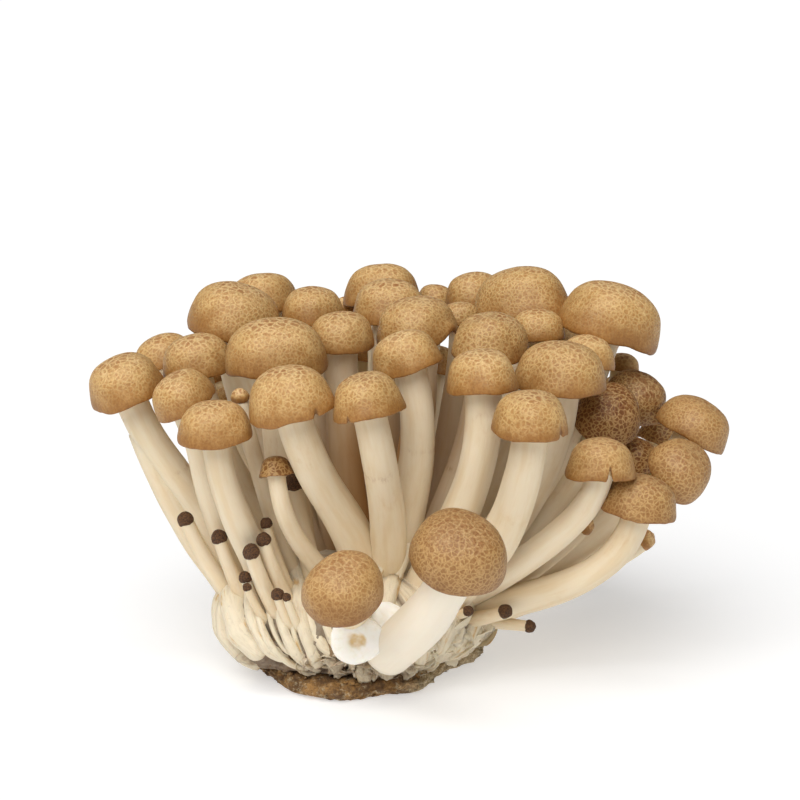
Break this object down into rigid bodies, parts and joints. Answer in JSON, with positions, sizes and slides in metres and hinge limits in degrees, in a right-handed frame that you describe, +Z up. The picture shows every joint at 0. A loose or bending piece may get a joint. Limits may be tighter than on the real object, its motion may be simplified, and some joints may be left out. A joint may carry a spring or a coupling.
{
  "type": "beech mushroom cluster",
  "caption": "Cluster of beech mushrooms as picked: domed brown caps on curved white stems that fan out from one clump with a thin crust of sawdust under it.",
  "frame": {"origin": "middle of the flat spot under the sawdust crust, on the surface that the cluster stands on", "axes": "+Z up, -Y towards the side that was pictured, +X to that side's right"},
  "size_m": [0.1399, 0.1318, 0.0847],
  "materials": {
    "cap": "smooth matte golden brown skin with a pale cracked net round darker spots",
    "stem": "matte cream white flesh with faint long streaks and ochre stains",
    "crust": "rough granular sawdust bound with white threads"
  },
  "bodies": {
    "root": {"cap_01": "cap", "cap_02": "cap", "cap_03": "cap", "cap_04": "cap", "cap_05": "cap", "cap_06": "cap", "cap_07": "cap", "cap_08": "cap", "cap_09": "cap", "cap_10": "cap", "cap_11": "cap", "cap_12": "cap", "cap_13": "cap", "cap_14": "cap", "cap_15": "cap", "cap_16": "cap", "cap_17": "cap", "cap_18": "cap", "cap_19": "cap", "cap_20": "cap", "cap_21": "cap", "cap_22": "cap", "cap_23": "cap", "cap_24": "cap", "cap_25": "cap", "cap_26": "cap", "cap_27": "cap", "cap_28": "cap", "cap_29": "cap", "cap_30": "cap", "cap_31": "cap", "cap_32": "cap", "cap_33": "cap", "cap_34": "cap", "cap_35": "cap", "cap_36": "cap", "cap_37": "cap", "cap_38": "cap", "cap_39": "cap", "cap_40": "cap", "cap_41": "cap", "cap_42": "cap", "cap_43": "cap", "cap_44": "cap", "cap_45": "cap", "cap_46": "cap", "cap_47": "cap", "cap_48": "cap", "cap_49": "cap", "cap_50": "cap", "stems_and_clump": "stem", "sawdust_crust": "crust"}
  },
  "joints": []
}
